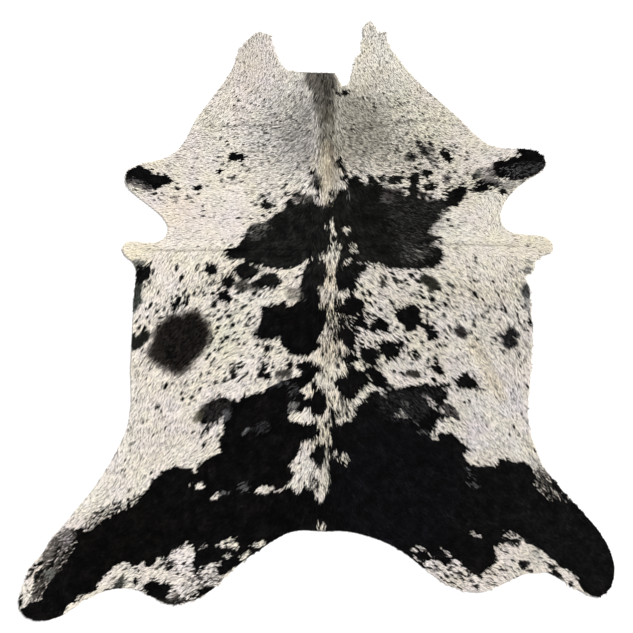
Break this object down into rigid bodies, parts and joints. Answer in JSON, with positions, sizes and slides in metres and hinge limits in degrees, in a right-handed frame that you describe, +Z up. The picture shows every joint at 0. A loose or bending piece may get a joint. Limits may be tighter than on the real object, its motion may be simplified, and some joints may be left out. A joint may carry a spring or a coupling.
{
  "type": "cowhide rug",
  "caption": "One-piece hair-on cowhide rug with the natural outline of a skin: cheeks, forelegs, elbow flaps and spread hind legs, lying flat.",
  "frame": {"origin": "on the surface that the rug lies on, below the middle of its bounding box", "axes": "+Z up through the hair side, +Y along the spine towards the neck, +X to the right seen from above with the neck at the far end"},
  "size_m": [2.1998, 2.2124, 0.0149],
  "materials": {
    "hair_on_hide": "short ivory hair with near-black patches and speckles on top, plain tan suede underneath"
  },
  "bodies": {
    "root": {"hide": "hair_on_hide"}
  },
  "joints": []
}
